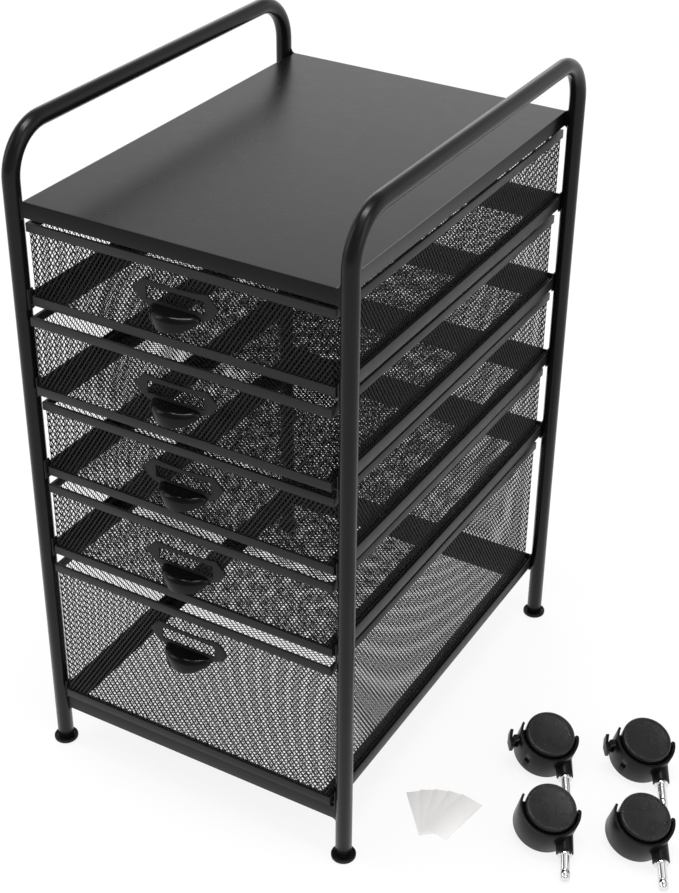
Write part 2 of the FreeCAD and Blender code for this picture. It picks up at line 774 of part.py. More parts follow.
def caster_hood(label, braked):
    """Moulded hood: curved shroud, web between the wheels, hub for the axle and boss for the stem."""
    body = new_body(label)
    extrude(body, "X", "-shroud_half_width", "2 * shroud_half_width", arch(SHROUD_OUTER, SHROUD_INNER))
    extrude(body, "X", "-web_thickness / 2", "web_thickness", arch(f"({SHROUD_INNER} + shroud_seam)"))
    extrude(body, "Z", "boss_root", f"{BOSS_TOP} - boss_root", ring("0", "-stem_offset", "boss_radius"))
    lug_y, lug_z = polar(f"({SHROUD_OUTER} - shroud_lug_radius)", "shroud_back_angle")
    lug = ring(lug_y, lug_z, "shroud_lug_radius")
    extrude(body, "X", "-shroud_half_width", "2 * shroud_half_width", lug)
    clearance = ring("0", "0", "wheel_radius + wheel_clearance")
    cut(body, "X", "web_thickness / 2", "shroud_half_width", clearance)
    cut(body, "X", "-web_thickness / 2 - shroud_half_width", "shroud_half_width", clearance)
    if braked:
        brake_ears(body)
        brake_slot(body)
    bore = ring("0", "0", "axle_radius + axle_fit")
    cut(body, "X", "-web_thickness / 2 - cut_overrun", "web_thickness + 2 * cut_overrun", bore)
    socket = ring("0", "-stem_offset", "stem_diameter / 2 + stem_fit")
    cut(body, "Z", f"{BOSS_TOP} - stem_insert", "stem_insert + cut_overrun", socket)
    return body


def caster_wheel(label, side):
    """Moulded wheel with rounded shoulders, a shallow dished face and a blind bore for the axle."""
    body = new_body(label)
    bore = "(axle_radius + wheel_fit)"
    shoulder = "(wheel_radius - wheel_round)"
    dish = f"({shoulder} - wheel_face_rim)"
    turn = -side
    turn_profile(
        body,
        "H_Axis",
        "0",
        (f"{side} * wheel_half_gap", bore),
        (f"{side} * wheel_half_gap", "wheel_radius - wheel_inner_round", "wheel_inner_round", turn),
        (f"{side} * (wheel_half_gap + wheel_inner_round)", "wheel_radius"),
        (f"{side} * ({WHEEL_OUTER} - wheel_round)", "wheel_radius", "wheel_round", turn),
        (f"{side} * {WHEEL_OUTER}", shoulder),
        (f"{side} * {WHEEL_OUTER}", dish),
        (f"{side} * ({WHEEL_OUTER} - wheel_face_dish)", f"{dish} - wheel_face_dish"),
        (f"{side} * ({WHEEL_OUTER} - wheel_face_dish)", "0"),
        (f"{side} * ({WHEEL_OUTER} - wheel_cap)", "0"),
        (f"{side} * ({WHEEL_OUTER} - wheel_cap)", bore),
    )
    return body


def caster_axle(label):
    """Pin through the hub that both wheels run on."""
    body = new_body(label)
    reach = f"({WHEEL_OUTER} - wheel_cap - axle_end_gap)"
    extrude(body, "X", f"-{reach}", f"2 * {reach}", ring("0", "0", "axle_radius"))
    return body


def caster_stem(label):
    """Plated stem with a collar on the hood's boss, a groove and a grip ring near its tip."""
    body = new_body(label)
    radius = "(stem_diameter / 2)"
    collar = f"({BOSS_TOP} + collar_gap)"
    ring_top = f"({STEM_TIP} - stem_ring_drop)"
    ring_low = f"({ring_top} - stem_ring_width)"
    groove_low = f"({ring_low} - stem_groove_width)"
    turn_profile(
        body,
        "V_Axis",
        "0",
        ("0", f"{BOSS_TOP} - stem_insert + stem_fit"),
        (radius, f"{BOSS_TOP} - stem_insert + stem_fit"),
        (radius, collar),
        ("collar_radius", collar),
        ("collar_radius", f"{collar} + collar_thickness"),
        (radius, f"{collar} + collar_thickness"),
        (radius, groove_low),
        (f"{radius} - stem_groove", groove_low),
        (f"{radius} - stem_groove", ring_low),
        (f"{radius} + stem_ring", ring_low),
        (f"{radius} + stem_ring", ring_top),
        (radius, ring_top),
        (radius, f"{STEM_TIP} - stem_tip"),
        (f"{radius} - stem_tip", STEM_TIP),
        ("0", STEM_TIP),
    )
    return body


def brake_lever(label):
    """Hooked pedal on an arm from a barrel between the ears, which turns on its two pins."""
    body = new_body(label)
    barrel = ring(LEVER_Y, LEVER_Z, "lever_barrel_radius")
    extrude(body, "X", "-lever_half_width", "2 * lever_half_width", barrel)
    reach = f"({EAR_START} + lever_ear_width)"
    extrude(body, "X", f"-{reach}", f"2 * {reach}", ring(LEVER_Y, LEVER_Z, "lever_pin_radius"))
    edge = f"({LEVER_Y} + lever_reach)"
    inner = f"({edge} - lever_thickness)"
    low = f"{LEVER_Z} - lever_thickness / 2"
    high = f"{LEVER_Z} + lever_thickness / 2"
    pedal = loop(
        (LEVER_Y, low),
        (inner, low),
        (f"{inner} - lever_hook", f"{LEVER_Z} - lever_drop"),
        (f"{edge} - lever_hook", f"{LEVER_Z} - lever_drop"),
        (edge, LEVER_Z),
        (f"{edge} - lever_hook", f"{LEVER_Z} + lever_rise"),
        (f"{inner} - lever_hook", f"{LEVER_Z} + lever_rise"),
        (inner, high),
        (LEVER_Y, high),
    )
    extrude(body, "X", "-lever_half_width", "2 * lever_half_width", pedal)
    return body


def caster_placement(index):
    """Where a caster lies on its side, leaning about its stem, tipped until a wheel and the stem touch the floor."""
    lean = math.radians(number("caster_lean"))
    shoulder_r = number("wheel_radius - wheel_round")
    shoulder_x = number(f"{WHEEL_OUTER} - wheel_round")
    aside = number("stem_offset") * math.sin(lean) + number("stem_diameter / 2")
    along = number(f"{STEM_TIP} - stem_tip")
    flat, steep = 0, math.pi / 4
    for _ in range(TILT_STEP_COUNT):
        tilt = (flat + steep) / 2
        rise = math.cos(lean) * math.cos(tilt)
        height = shoulder_x * rise + shoulder_r * math.sqrt(1 - rise**2) + number("wheel_round")
        if aside * math.cos(tilt) + along * math.sin(tilt) < height:
            flat = tilt
        else:
            steep = tilt
    heading = math.radians(number(f"caster_{index}_heading"))
    forward = FreeCAD.Vector(math.cos(heading), math.sin(heading), 0)
    up = FreeCAD.Vector(0, 0, 1)
    upright = forward * math.sin(tilt) + up * math.cos(tilt)
    axle = upright * math.cos(lean) + up.cross(forward) * math.sin(lean)
    stem = forward * math.cos(tilt) - up * math.sin(tilt)
    spot = FreeCAD.Vector(number(f"caster_{index}_x"), number(f"caster_{index}_y"), height)
    return FreeCAD.Placement(spot, FreeCAD.Rotation(axle, stem.cross(axle), stem, "XZY"))


def caster(index):
    """All the pieces of one caster."""
    name = f"caster_{index}"
    braked = index <= BRAKED_CASTER_COUNT
    spot = caster_placement(index)
    stem = caster_stem(f"{name}_stem")
    aside = FreeCAD.Vector(0, -number("stem_offset"), 0)
    stem.Placement = spot * FreeCAD.Placement(aside, FreeCAD.Rotation())
    keep(stem)
    pieces = [
        caster_hood(f"{name}_hood", braked),
        caster_axle(f"{name}_axle"),
        caster_wheel(f"{name}_wheel_a", 1),
        caster_wheel(f"{name}_wheel_b", -1),
    ]
    if braked:
        pieces.append(brake_lever(f"{name}_brake_lever"))
    for piece in pieces:
        piece.Placement = spot
        keep(piece)


# Label cards


def label_cards():
    """Blank cards fanned about a point below them, each lying on the one before."""
    cards = []
    corner = FreeCAD.Vector(-number("fan_side"), number("fan_drop"), 0)
    for index in range(CARD_COUNT):
        card = doc.addObject("Part::Box", f"label_card_{index + 1}")
        bind(card, "Length", "card_width")
        bind(card, "Width", "card_length")
        bind(card, "Height", "card_thickness")
        share = index / (CARD_COUNT - 1)
        angle = number("fan_first_angle") * (1 - share) + number("fan_last_angle") * share
        spot = FreeCAD.Vector(number("fan_x"), number("fan_y"), index * number("card_thickness"))
        turn = FreeCAD.Rotation(FreeCAD.Vector(0, 0, 1), angle - QUARTER_TURN_ANGLE)
        card.Placement = FreeCAD.Placement(spot, turn) * FreeCAD.Placement(corner, FreeCAD.Rotation())
        cards.append(card)
    return keep(group("label_cards", cards))


def build():
    """Every piece of the cart."""
    tiers = range(1, DRAWER_COUNT + 1)
    side_frame("side_frame_left", -1)
    side_frame("side_frame_right", 1)
    keep(group("feet", [foot(f"foot_{side}_{end}", side, end) for side in (-1, 1) for end in (-1, 1)]))
    top_panel()
    for tier in tiers:
        side_rail(f"side_rail_{tier}_left", tier, -1)
        side_rail(f"side_rail_{tier}_right", tier, 1)
    keep(group("back_rails", [back_rail(tier) for tier in tiers]))
    bottom_front_bar()
    for tier in tiers:
        drawer(tier)
    for index in range(1, CASTER_COUNT + 1):
        caster(index)
    label_cards()
    doc.recompute()


def export():
    """Check every object, then write each node to its own file."""
    for item in doc.Objects:
        if "Invalid" in item.State or "Error" in item.State:
            raise RuntimeError(f"{item.Label} did not recompute")
        if item.isDerivedFrom("PartDesign::Pocket") and item.Shape.Volume >= item.BaseFeature.Shape.Volume:
            raise RuntimeError(f"{item.Label} cuts nothing")
    for node in nodes:
        if node.Shape.isNull() or not node.Shape.isValid():
            raise RuntimeError(f"{node.Label} has no valid shape")
    os.makedirs("parts", exist_ok=True)
    for node in nodes:
        node.Shape.exportStep(f"parts/{node.Label}.step")


build()
export()
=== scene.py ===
"""Looks of the drawer cart: its finishes, the diamond mesh of its drawers, and a plain studio.

Metres, in the frame of the solids: +Z is up, and the drawers open towards -Y.
"""

import math

import bpy
import numpy as np
from mathutils import Matrix, Vector

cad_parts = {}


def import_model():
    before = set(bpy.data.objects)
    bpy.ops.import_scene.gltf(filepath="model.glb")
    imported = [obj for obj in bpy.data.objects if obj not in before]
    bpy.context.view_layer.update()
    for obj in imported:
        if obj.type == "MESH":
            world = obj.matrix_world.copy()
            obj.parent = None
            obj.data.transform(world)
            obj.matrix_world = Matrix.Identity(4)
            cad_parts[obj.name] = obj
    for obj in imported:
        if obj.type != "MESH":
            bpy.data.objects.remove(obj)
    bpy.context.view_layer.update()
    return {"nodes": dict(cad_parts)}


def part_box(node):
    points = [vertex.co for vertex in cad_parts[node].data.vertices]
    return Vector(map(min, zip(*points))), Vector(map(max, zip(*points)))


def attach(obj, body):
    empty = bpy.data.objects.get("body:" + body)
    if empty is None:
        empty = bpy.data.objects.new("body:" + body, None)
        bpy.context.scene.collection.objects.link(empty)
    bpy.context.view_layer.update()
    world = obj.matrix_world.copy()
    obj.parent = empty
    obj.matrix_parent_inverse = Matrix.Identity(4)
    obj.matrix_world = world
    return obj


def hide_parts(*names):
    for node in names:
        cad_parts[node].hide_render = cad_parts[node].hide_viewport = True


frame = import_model()

MM = 0.001

# Diamond mesh of the drawers
DRAWER_COUNT = 5
CELL_WIDTH = 4.5 * MM
CELL_HEIGHT = 7.0 * MM
STRAND_WIDTH = 1.12 * MM
STRAND_THICKNESS = 0.7 * MM
MESH_CORNER_RADIUS = 3 * MM

# Rounded edges on the solids, by what the piece is made of
SHEET_EDGE = 0.45 * MM
PLASTIC_EDGE = 0.6 * MM
CARD_EDGE = 0.05 * MM
SLOT_EDGES = {"card_stock": CARD_EDGE, "foot_plastic": PLASTIC_EDGE, "hood_plastic": PLASTIC_EDGE}
WELD_REACH = 0.002 * MM
EDGE_SEGMENTS = 2
SHARP_ANGLE = math.radians(32)

# Noise: the range that most of it lies in, and how fine its detail goes
NOISE_RANGE = (0.3, 0.7)
PATCH_DETAIL = 4.0
GRAIN_DETAIL = 2.0

# Coated metal and moulded plastic, with the size and depth of the fine grain
COATINGS = {
    "tube_paint": {
        "shade": 0.004, "rough": 0.24, "rough_spread": 0.03,
        "grain": 0.9 * MM, "depth": 0.005 * MM, "mottle_share": 0.12, "specular": 0.2,
    },
    "panel_paint": {
        "shade": 0.004, "rough": 0.28, "rough_spread": 0.01,
        "grain": 0.7 * MM, "depth": 0.002 * MM, "mottle_share": 0.04, "specular": 0.14,
    },
    "strip_paint": {
        "shade": 0.016, "rough": 0.40, "rough_spread": 0.03,
        "grain": 0.6 * MM, "depth": 0.006 * MM, "mottle_share": 0.12, "specular": 0.2,
    },
    "mesh_paint": {
        "shade": 0.006, "rough": 0.30, "rough_spread": 0.05,
        "grain": 0.5 * MM, "depth": 0.01 * MM, "mottle_share": 0.12, "specular": 0.2,
    },
    "foot_plastic": {
        "shade": 0.008, "rough": 0.45, "rough_spread": 0.05,
        "grain": 0.8 * MM, "depth": 0.01 * MM, "mottle_share": 0.12, "specular": 0.2,
    },
    "hood_plastic": {
        "shade": 0.005, "rough": 0.30, "rough_spread": 0.04,
        "grain": 0.7 * MM, "depth": 0.012 * MM, "mottle_share": 0.12, "specular": 0.15,
    },
    "wheel_plastic": {
        "shade": 0.009, "rough": 0.28, "rough_spread": 0.05,
        "grain": 1.4 * MM, "depth": 0.4 * MM, "mottle_share": 0.12, "specular": 0.35,
    },
}
COATING_PATCH = 60 * MM
COATING_GLOSS_PATCH = 14 * MM
COOL_TINT = -0.02

# Pulls: the plate is a sheet, and the cup stands in front of it
PULL_SHEET = 1.5 * MM
CUP_MARGIN = 0.15 * MM
PLATE_SHADE = 0.014
PLATE_ROUGH = (0.42, 0.5)
CUP_SHADE = 0.003
CUP_ROUGH = (0.13, 0.17)
PULL_GLOSS_PATCH = 9 * MM
PULL_GRAIN = 0.6 * MM
PULL_DEPTH = 0.006 * MM
PULL_SPECULAR = 0.15

# Bright metal
PLATINGS = {
    "stem_chrome": {"shade": 0.85, "rough": 0.10},
    "axle_steel": {"shade": 0.55, "rough": 0.28},
}
METAL_PATCH = 6 * MM
METAL_DARK_SHARE = 0.92
METAL_GLOSS_PATCH = 2 * MM
METAL_ROUGH_SHARES = (0.7, 1.3)
METAL_GRAIN = 0.5 * MM
METAL_DEPTH = 0.004 * MM

# Label cards: long fibres, and a soft tooth
CARD_SHADE = 0.82
CARD_TINT = 0.015
CARD_DARK_SHARE = 0.97
CARD_DARK_TINT = 0.025
CARD_ROUGH = (0.8, 0.92)
CARD_GLOSS_PATCH = 3 * MM
FIBRE_SIZE = 1.2 * MM
FIBRE_DETAIL = 6.0
FIBRE_STRETCH = (1, 3, 1)
TOOTH_SIZE = 0.3 * MM
TOOTH_DETAIL = 3.0
TOOTH_DEPTH = 0.01 * MM

# Studio floor, a hair below the feet
FLOOR_HALF = 12.0
FLOOR_DROP = 0.2 * MM
FLOOR_SHADE = 0.85
FLOOR_ROUGH = 0.9
FLOOR_WHITE_SHARE = 0.85

# Room: how bright it is as light, and in reflections from front to back and from low to high
WORLD_LIGHT = 0.95
FRONT_TO_BACK = (-1, 1)
DEPTH_GLOWS = (0.25, 1.0)
LOW_TO_HIGH = (0.25, 0.75)
HEIGHT_GLOWS = (1.2, 0.4)

# Soft lamps above, behind and to both sides, and a strip lamp overhead, in metres and watts
MIDDLE = (0, 0, 0.35)
LAMPS = {
    "lamp_top": {"place": (0.8, -0.5, 2.6), "aim": MIDDLE, "size": (2.0, 2.0), "power": 8},
    "lamp_strip": {"place": (0, -0.2, 2.5), "aim": (0, -0.2, 0), "size": (1.6, 0.4), "power": 31},
    "lamp_back": {"place": (-1.5, 2.3, 1.45), "aim": MIDDLE, "size": (1.9, 1.2), "power": 7},
    "lamp_left": {"place": (-2.0, -1.2, 1.6), "aim": MIDDLE, "size": (0.8, 1.8), "power": 9},
    "lamp_right": {"place": (2.2, -0.2, 1.5), "aim": MIDDLE, "size": (0.8, 1.8), "power": 8},
}

# Photograph's frame in pixels, and the camera that was solved from it
IMAGE_WIDTH = 679
IMAGE_HEIGHT = 893
FOCAL_PIXELS = 1694.5
CENTRE_PIXEL = (381.28, 415.59)
SENSOR_MILLIMETRES = 36
CAMERA_AZIMUTH = math.radians(28.27)
CAMERA_ELEVATION = math.radians(31.41)
CAMERA_ROLL = math.radians(1.41)
CAMERA_PLACE = Vector((745.9, -1241.5, 1215.2)) * MM
NEAR_CLIP = 0.05
FAR_CLIP = 60


# Helpers


def add_object(name, data):
    """New object in the scene."""
    piece = bpy.data.objects.new(name, data)
    bpy.context.scene.collection.objects.link(piece)
    return piece


def start_material(name):
    """Empty finish with its shader."""
    material = bpy.data.materials.new(name)
    material.use_nodes = True
    tree = material.node_tree
    return material, tree, tree.nodes["Principled BSDF"]


def feed(tree, source, target):
    """Link an input to another node's output, or set it to a number."""
    if isinstance(source, bpy.types.NodeSocket):
        tree.links.new(source, target)
    else:
        target.default_value = source


def calculate(tree, operation, first, second):
    """Work out two values, such as their product."""
    node = tree.nodes.new("ShaderNodeMath")
    node.operation = operation
    feed(tree, first, node.inputs[0])
    feed(tree, second, node.inputs[1])
    return node.outputs["Value"]


def remap(tree, source, start, result):
    """Carry a value over from one range to another."""
    node = tree.nodes.new("ShaderNodeMapRange")
    node.inputs["From Min"].default_value, node.inputs["From Max"].default_value = start
    node.inputs["To Min"].default_value, node.inputs["To Max"].default_value = result
    tree.links.new(source, node.inputs["Value"])
    return node.outputs["Result"]


def blend(tree, share, first, second):
    """Mix two values by a share from 0 to 1."""
    node = tree.nodes.new("ShaderNodeMix")
    feed(tree, share, node.inputs["Factor"])
    feed(tree, first, node.inputs["A"])
    feed(tree, second, node.inputs["B"])
    return node.outputs["Result"]


def blend_colours(tree, share, first, second):
    """Mix two colours by a share from 0 to 1."""
    node = tree.nodes.new("ShaderNodeMix")
    node.data_type = "RGBA"
    node.inputs["A"].default_value = (*first, 1)
    node.inputs["B"].default_value = (*second, 1)
    tree.links.new(share, node.inputs["Factor"])
    return node.outputs["Result"]


def noise(tree, size, result, detail=PATCH_DETAIL, stretch=None):
    """Noise over the object's own coordinates, with features of a size in metres, spread over a range."""
    return remap(tree, raw_noise(tree, size, detail, stretch), NOISE_RANGE, result)


def raw_noise(tree, size, detail, stretch=None):
    """Noise as it comes, for bumps."""
    place = tree.nodes.new("ShaderNodeTexCoord").outputs["Object"]
    if stretch:
        mapping = tree.nodes.new("ShaderNodeMapping")
        mapping.inputs["Scale"].default_value = stretch
        tree.links.new(place, mapping.inputs["Vector"])
        place = mapping.outputs["Vector"]
    texture = tree.nodes.new("ShaderNodeTexNoise")
    texture.inputs["Scale"].default_value = 1 / size
    texture.inputs["Detail"].default_value = detail
    tree.links.new(place, texture.inputs["Vector"])
    return texture.outputs[0]


def grain_bump(tree, shader, size, depth, detail=GRAIN_DETAIL):
    """Fine bumps of a size and depth in metres."""
    node = tree.nodes.new("ShaderNodeBump")
    node.inputs["Strength"].default_value = 1
    node.inputs["Distance"].default_value = depth
    tree.links.new(raw_noise(tree, size, detail), node.inputs["Height"])
    tree.links.new(node.outputs["Normal"], shader.inputs["Normal"])


def grey(value, warm=0.0):
    """Neutral colour, a little warmer or cooler."""
    return (value * (1 + warm), value, value * (1 - warm))


# Finishes


def coated(name, shade, rough, rough_spread, grain, depth, mottle_share, specular):
    """Coated metal or moulded plastic: fine grain, patchy gloss and a slight mottle."""
    material, tree, shader = start_material(name)
    patches = noise(tree, COATING_PATCH, (0, 1))
    dark = grey(shade * (1 - mottle_share), COOL_TINT)
    light = grey(shade * (1 + mottle_share), COOL_TINT)
    tree.links.new(blend_colours(tree, patches, dark, light), shader.inputs["Base Color"])
    gloss = noise(tree, COATING_GLOSS_PATCH, (rough - rough_spread, rough + rough_spread))
    tree.links.new(gloss, shader.inputs["Roughness"])
    grain_bump(tree, shader, grain, depth)
    shader.inputs["Specular IOR Level"].default_value = specular
    return material


def pull_finish(name, cup_front):
    """Satin plate with a glossy cup: everything in front of the plate is the cup."""
    material, tree, shader = start_material(name)
    place = tree.nodes.new("ShaderNodeTexCoord").outputs["Object"]
    split = tree.nodes.new("ShaderNodeSeparateXYZ")
    tree.links.new(place, split.inputs["Vector"])
    cup = calculate(tree, "LESS_THAN", split.outputs["Y"], cup_front)
    colour = blend_colours(tree, cup, grey(PLATE_SHADE, COOL_TINT), grey(CUP_SHADE, COOL_TINT))
    tree.links.new(colour, shader.inputs["Base Color"])
    plate_gloss = noise(tree, PULL_GLOSS_PATCH, PLATE_ROUGH)
    cup_gloss = noise(tree, PULL_GLOSS_PATCH, CUP_ROUGH)
    tree.links.new(blend(tree, cup, plate_gloss, cup_gloss), shader.inputs["Roughness"])
    grain_bump(tree, shader, PULL_GRAIN, PULL_DEPTH)
    shader.inputs["Specular IOR Level"].default_value = PULL_SPECULAR
    return material


def plated(name, shade, rough):
    """Bright metal with a fine grain."""
    material, tree, shader = start_material(name)
    tone = noise(tree, METAL_PATCH, (0, 1))
    colour = blend_colours(tree, tone, grey(shade * METAL_DARK_SHARE), grey(shade))
    tree.links.new(colour, shader.inputs["Base Color"])
    shader.inputs["Metallic"].default_value = 1
    gloss = noise(tree, METAL_GLOSS_PATCH, [rough * share for share in METAL_ROUGH_SHARES])
    tree.links.new(gloss, shader.inputs["Roughness"])
    grain_bump(tree, shader, METAL_GRAIN, METAL_DEPTH)
    return material


def paper(name):
    """Uncoated card: faint fibres and a soft tooth."""
    material, tree, shader = start_material(name)
    fibres = noise(tree, FIBRE_SIZE, (0, 1), FIBRE_DETAIL, FIBRE_STRETCH)
    dark = grey(CARD_SHADE * CARD_DARK_SHARE, CARD_DARK_TINT)
    light = grey(CARD_SHADE, CARD_TINT)
    tree.links.new(blend_colours(tree, fibres, dark, light), shader.inputs["Base Color"])
    tree.links.new(noise(tree, CARD_GLOSS_PATCH, CARD_ROUGH), shader.inputs["Roughness"])
    grain_bump(tree, shader, TOOTH_SIZE, TOOTH_DEPTH, TOOTH_DETAIL)
    return material


FINISHES = {name: coated(name, **values) for name, values in COATINGS.items()}
FINISHES.update({name: plated(name, **values) for name, values in PLATINGS.items()})
FINISHES["card_stock"] = paper("card_stock")


# Solids that stay: soft edges and finishes


def smooth_group():
    """Geometry nodes that shade faces smooth, but not across sharp edges."""
    group = bpy.data.node_groups.new("smooth_by_angle", "GeometryNodeTree")
    group.interface.new_socket("Geometry", in_out="INPUT", socket_type="NodeSocketGeometry")
    group.interface.new_socket("Geometry", in_out="OUTPUT", socket_type="NodeSocketGeometry")
    start = group.nodes.new("NodeGroupInput")
    end = group.nodes.new("NodeGroupOutput")
    bare = group.nodes.new("GeometryNodeRemoveAttribute")
    bare.inputs["Name"].default_value = "custom_normal"
    faces = group.nodes.new("GeometryNodeSetShadeSmooth")
    faces.domain = "FACE"
    edges = group.nodes.new("GeometryNodeSetShadeSmooth")
    edges.domain = "EDGE"
    edges.inputs["Shade Smooth"].default_value = False
    angle = group.nodes.new("GeometryNodeInputMeshEdgeAngle")
    sharp = group.nodes.new("FunctionNodeCompare")
    sharp.operation = "GREATER_THAN"
    sharp.inputs["B"].default_value = SHARP_ANGLE
    group.links.new(angle.outputs["Unsigned Angle"], sharp.inputs["A"])
    group.links.new(start.outputs["Geometry"], bare.inputs["Geometry"])
    group.links.new(bare.outputs["Geometry"], faces.inputs["Geometry"])
    group.links.new(faces.outputs["Geometry"], edges.inputs["Geometry"])
    group.links.new(sharp.outputs["Result"], edges.inputs["Selection"])
    group.links.new(edges.outputs["Geometry"], end.inputs["Geometry"])
    return group


SMOOTH = smooth_group()


def soften(piece, width):
    """Round the sharp edges of a solid and shade the rest smooth."""
    weld = piece.modifiers.new("weld", "WELD")
    weld.merge_threshold = WELD_REACH
    bevel = piece.modifiers.new("edges", "BEVEL")
    bevel.width = width
    bevel.segments = EDGE_SEGMENTS
    bevel.limit_method = "ANGLE"
    bevel.angle_limit = SHARP_ANGLE
    bevel.use_clamp_overlap = True
    smooth = piece.modifiers.new("smooth", "NODES")
    smooth.node_group = SMOOTH


def dress(piece, material):
    """Give a piece one finish all over."""
    piece.data.materials.clear()
    piece.data.materials.append(material)


def slot_of(name):
    """Material slot of a node, as the record has it."""
    return frame["nodes"][name].data.materials[0].name.split(".")[0]


def dress_solids():
    """Round and finish every solid but the trays, which the mesh replaces."""
    slots = {name: slot_of(name) for name in frame["nodes"]}
    for name, piece in frame["nodes"].items():
        if name.endswith("_tray"):
            continue
        slot = slots[name]
        soften(piece, SLOT_EDGES.get(slot, SHEET_EDGE))
        if name.endswith("_pull"):
            cup_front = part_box(name)[1].y - PULL_SHEET - CUP_MARGIN
            dress(piece, pull_finish(f"{name}_finish", cup_front))
        else:
            dress(piece, FINISHES[slot])


# Diamond mesh


def diamond_net(cells, place, hole_share, period=None):
    """Net of diamond cells, each with four half strands of a rhombic section.

    cells are the (across, up) steps of the cell centres, in half cells. place maps steps and a
    depth in half thicknesses to points. With a period, the steps across wrap round.
    """
    cells = np.asarray(cells)
    turns = np.array([(0, -1), (1, 0), (0, 1), (-1, 0)])
    corners = cells[:, None, :] + turns[None]
    if period:
        corners[..., 0] %= period
    rows = corners[..., 1].max() + 1
    keys, index = np.unique(corners[..., 0] * rows + corners[..., 1], return_inverse=True)
    index = index.reshape(-1, 4)
    knots = np.stack([keys // rows, keys % rows], axis=1)
    holes = (cells[:, None, :] + turns[None] * hole_share).reshape(-1, 2)
    points = [place(*knot, 1) for knot in knots]
    points += [place(*knot, -1) for knot in knots]
    points += [place(*hole, 0) for hole in holes]
    back = index + len(knots)
    inner = 2 * len(knots) + np.arange(len(holes)).reshape(-1, 4)
    following = [1, 2, 3, 0]
    front_faces = np.stack([index, index[:, following], inner[:, following], inner], axis=2)
    back_faces = np.stack([back[:, following], back, inner, inner[:, following]], axis=2)
    ahead = index * len(knots) + index[:, following]
    behind = index[:, following] * len(knots) + index
    border = ~np.isin(ahead, behind)
    rim = np.stack([index[:, following][border], index[border]], axis=1)
    rim_faces = np.concatenate([rim, rim[:, ::-1] + len(knots)], axis=1)
    faces = np.concatenate([front_faces.reshape(-1, 4), back_faces.reshape(-1, 4), rim_faces])
    return points, faces.tolist()


def net_mesh(name, net):
    """Mesh of a net, in its finish."""
    points, faces = net
    mesh = bpy.data.meshes.new(name)
    mesh.from_pydata(points, [], faces)
    mesh.materials.append(FINISHES["mesh_paint"])
    mesh.update()
    return mesh


def open_share(width, height):
    """How much of a cell is open, along its diagonals."""
    across = width * height / math.hypot(width, height)
    return (across - STRAND_WIDTH) / across


def fold_round(half_x, depth, radius):
    """Point and outward direction at a length along a round-cornered box, from mid-front to the right."""
    arc = math.pi / 2 * radius
    sides = (2 * (half_x - radius), depth - 2 * radius) * 2
    centres = [
        (half_x - radius, radius),
        (half_x - radius, depth - radius),
        (radius - half_x, depth - radius),
        (radius - half_x, radius),
    ]
    whole = sum(sides) + 4 * arc

    def at(length):
        length = (length + sides[0] / 2) % whole
        for turn, (side, centre) in enumerate(zip(sides, centres)):
            angle = (turn - 1) * math.pi / 2
            out = (math.cos(angle), math.sin(angle))
            along = (-out[1], out[0])
            if length <= side:
                back = side - length
                spot = [centre[k] + radius * out[k] - back * along[k] for k in (0, 1)]
                return spot, out
            length -= side
            if length <= arc:
                angle += length / radius
                out = (math.cos(angle), math.sin(angle))
                return [centre[k] + radius * out[k] for k in (0, 1)], out
            length -= arc
        return at(0)

    return at, whole


def wall_nets(half_x, depth, height):
    """Mesh walls in two halves, front and back, folded round the drawer's corners."""
    at, whole = fold_round(half_x, depth, MESH_CORNER_RADIUS)
    columns = 2 * round(whole / CELL_WIDTH / 2)
    rows = round(2 * height / CELL_HEIGHT)
    step_s = whole / columns / 2
    step_z = height / rows
    hole_share = open_share(2 * step_s, 2 * step_z)

    def place(across, up, depth_share):
        spot, out = at(across * step_s)
        proud = depth_share * STRAND_THICKNESS / 2
        return (spot[0] + out[0] * proud, spot[1] + out[1] * proud, up * step_z)

    halves = []
    for start in (-columns // 2, columns // 2):
        cells = [
            (across, up)
            for up in range(1, rows)
            for across in range(start, start + columns)
            if (across + up) % 2 == 0
        ]
        halves.append(diamond_net(cells, place, hole_share, 2 * columns))
    return halves


def floor_net(half_x, depth):
    """Mesh floor, flat between the walls, with the long way of its cells across the drawer."""
    columns = round(4 * half_x / CELL_HEIGHT)
    rows = round(2 * depth / CELL_WIDTH)
    step_x = 2 * half_x / columns
    step_y = depth / rows

    def place(across, up, depth_share):
        return (across * step_x - half_x, up * step_y, depth_share * STRAND_THICKNESS / 2)

    cells = [
        (across, up)
        for up in range(1, rows)
        for across in range(1, columns)
        if (across + up) % 2 == 0
    ]
    return diamond_net(cells, place, open_share(2 * step_x, 2 * step_y))


def mesh_tray(number, shared):
    """Diamond mesh box of one drawer, in place of the solid with its coarse openings."""
    node = f"drawer_{number}_tray"
    low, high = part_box(node)
    half_x = (high.x - low.x - STRAND_THICKNESS) / 2
    depth = high.y - low.y - STRAND_THICKNESS
    height = high.z - low.z
    size = round(height / MM)
    if size not in shared:
        front, back = wall_nets(half_x, depth, height)
        shared[size] = {
            "mesh_front": net_mesh(f"mesh_front_{size}", front),
            "mesh_back": net_mesh(f"mesh_back_{size}", back),
        }
    if "floor" not in shared:
        shared["floor"] = net_mesh("mesh_floor", floor_net(half_x, depth))
    spot = Vector(((low.x + high.x) / 2, low.y + STRAND_THICKNESS / 2, low.z))
    lift = Vector((0, 0, STRAND_THICKNESS / 2))
    pieces = [(part, mesh, spot) for part, mesh in shared[size].items()]
    pieces.append(("mesh_floor", shared["floor"], spot + lift))
    for part, mesh, place in pieces:
        piece = add_object(f"drawer_{number}_{part}", mesh)
        piece.location = place
        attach(piece, f"drawer_{number}")
        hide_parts(node)


# Studio


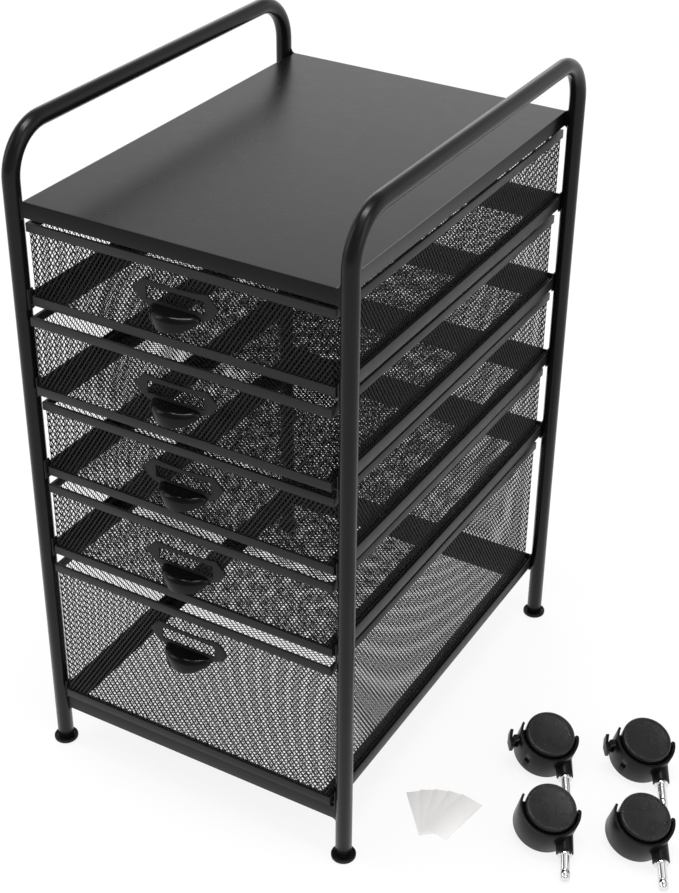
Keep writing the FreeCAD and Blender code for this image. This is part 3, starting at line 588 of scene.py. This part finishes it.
def background_rays(tree):
    """Values of 1 for camera rays, and for every ray that sees the background, in gloss and glass too."""
    path = tree.nodes.new("ShaderNodeLightPath")
    camera_rays = path.outputs["Is Camera Ray"]
    seeing_rays = camera_rays
    for name in ("Is Glossy Ray", "Is Transmission Ray"):
        seeing_rays = calculate(tree, "MAXIMUM", seeing_rays, path.outputs[name])
    return camera_rays, seeing_rays


def floor():
    """Wide pale floor that keeps a soft shadow and is white to the camera and in reflections."""
    signs = ((-1, -1), (1, -1), (1, 1), (-1, 1))
    corners = [(x * FLOOR_HALF, y * FLOOR_HALF, 0) for x, y in signs]
    mesh = bpy.data.meshes.new("studio_floor")
    mesh.from_pydata(corners, [], [(0, 1, 2, 3)])
    piece = add_object("studio_floor", mesh)
    piece.location.z = -FLOOR_DROP
    material, tree, shader = start_material("studio_floor")
    shader.inputs["Base Color"].default_value = (*grey(FLOOR_SHADE), 1)
    shader.inputs["Roughness"].default_value = FLOOR_ROUGH
    white = tree.nodes.new("ShaderNodeEmission")
    white.inputs["Strength"].default_value = 1
    seeing_rays = background_rays(tree)[1]
    mix = tree.nodes.new("ShaderNodeMixShader")
    tree.links.new(calculate(tree, "MULTIPLY", seeing_rays, FLOOR_WHITE_SHARE), mix.inputs["Fac"])
    tree.links.new(shader.outputs["BSDF"], mix.inputs[1])
    tree.links.new(white.outputs["Emission"], mix.inputs[2])
    tree.links.new(mix.outputs["Shader"], tree.nodes["Material Output"].inputs["Surface"])
    dress(piece, material)


def world():
    """White to the camera, graded in reflections, and even as light."""
    scene_world = bpy.data.worlds.new("studio")
    bpy.context.scene.world = scene_world
    scene_world.use_nodes = True
    tree = scene_world.node_tree
    camera_rays, seeing_rays = background_rays(tree)
    way = tree.nodes.new("ShaderNodeSeparateXYZ")
    tree.links.new(tree.nodes.new("ShaderNodeTexCoord").outputs["Generated"], way.inputs["Vector"])
    depth_glow = remap(tree, way.outputs["Y"], FRONT_TO_BACK, DEPTH_GLOWS)
    height_glow = remap(tree, way.outputs["Z"], LOW_TO_HIGH, HEIGHT_GLOWS)
    glow = calculate(tree, "MULTIPLY", depth_glow, height_glow)
    seen = blend(tree, camera_rays, glow, 1)
    back = tree.nodes["Background"]
    back.inputs["Color"].default_value = (1, 1, 1, 1)
    tree.links.new(blend(tree, seeing_rays, WORLD_LIGHT, seen), back.inputs["Strength"])


def lamp(name, place, aim, size, power):
    """Soft rectangular lamp."""
    data = bpy.data.lights.new(name, "AREA")
    data.shape = "RECTANGLE"
    data.size, data.size_y = size
    data.energy = power
    piece = add_object(name, data)
    piece.location = place
    piece.rotation_euler = (Vector(aim) - Vector(place)).to_track_quat("-Z", "Y").to_euler()


def camera():
    """Camera at the photograph's viewpoint."""
    data = bpy.data.cameras.new("camera")
    piece = add_object("camera", data)
    level = math.cos(CAMERA_ELEVATION)
    back = Vector((
        math.sin(CAMERA_AZIMUTH) * level,
        -math.cos(CAMERA_AZIMUTH) * level,
        math.sin(CAMERA_ELEVATION),
    ))
    right = (-back).cross(Vector((0, 0, 1))).normalized()
    up = back.cross(right)
    turn, tip = math.cos(CAMERA_ROLL), math.sin(CAMERA_ROLL)
    axes = Matrix((turn * right + tip * up, turn * up - tip * right, back)).transposed()
    piece.matrix_world = Matrix.Translation(CAMERA_PLACE) @ axes.to_4x4()
    data.sensor_fit = "AUTO"
    data.sensor_width = SENSOR_MILLIMETRES
    data.lens = FOCAL_PIXELS / IMAGE_HEIGHT * SENSOR_MILLIMETRES
    data.shift_x = (IMAGE_WIDTH / 2 - CENTRE_PIXEL[0]) / IMAGE_HEIGHT
    data.shift_y = (CENTRE_PIXEL[1] - IMAGE_HEIGHT / 2) / IMAGE_HEIGHT
    data.clip_start = NEAR_CLIP
    data.clip_end = FAR_CLIP
    bpy.context.scene.camera = piece


dress_solids()
meshes = {}
for drawer in range(1, DRAWER_COUNT + 1):
    mesh_tray(drawer, meshes)
floor()
world()
for lamp_name, lamp_values in LAMPS.items():
    lamp(lamp_name, **lamp_values)
camera()
bpy.context.scene.view_settings.view_transform = "Standard"
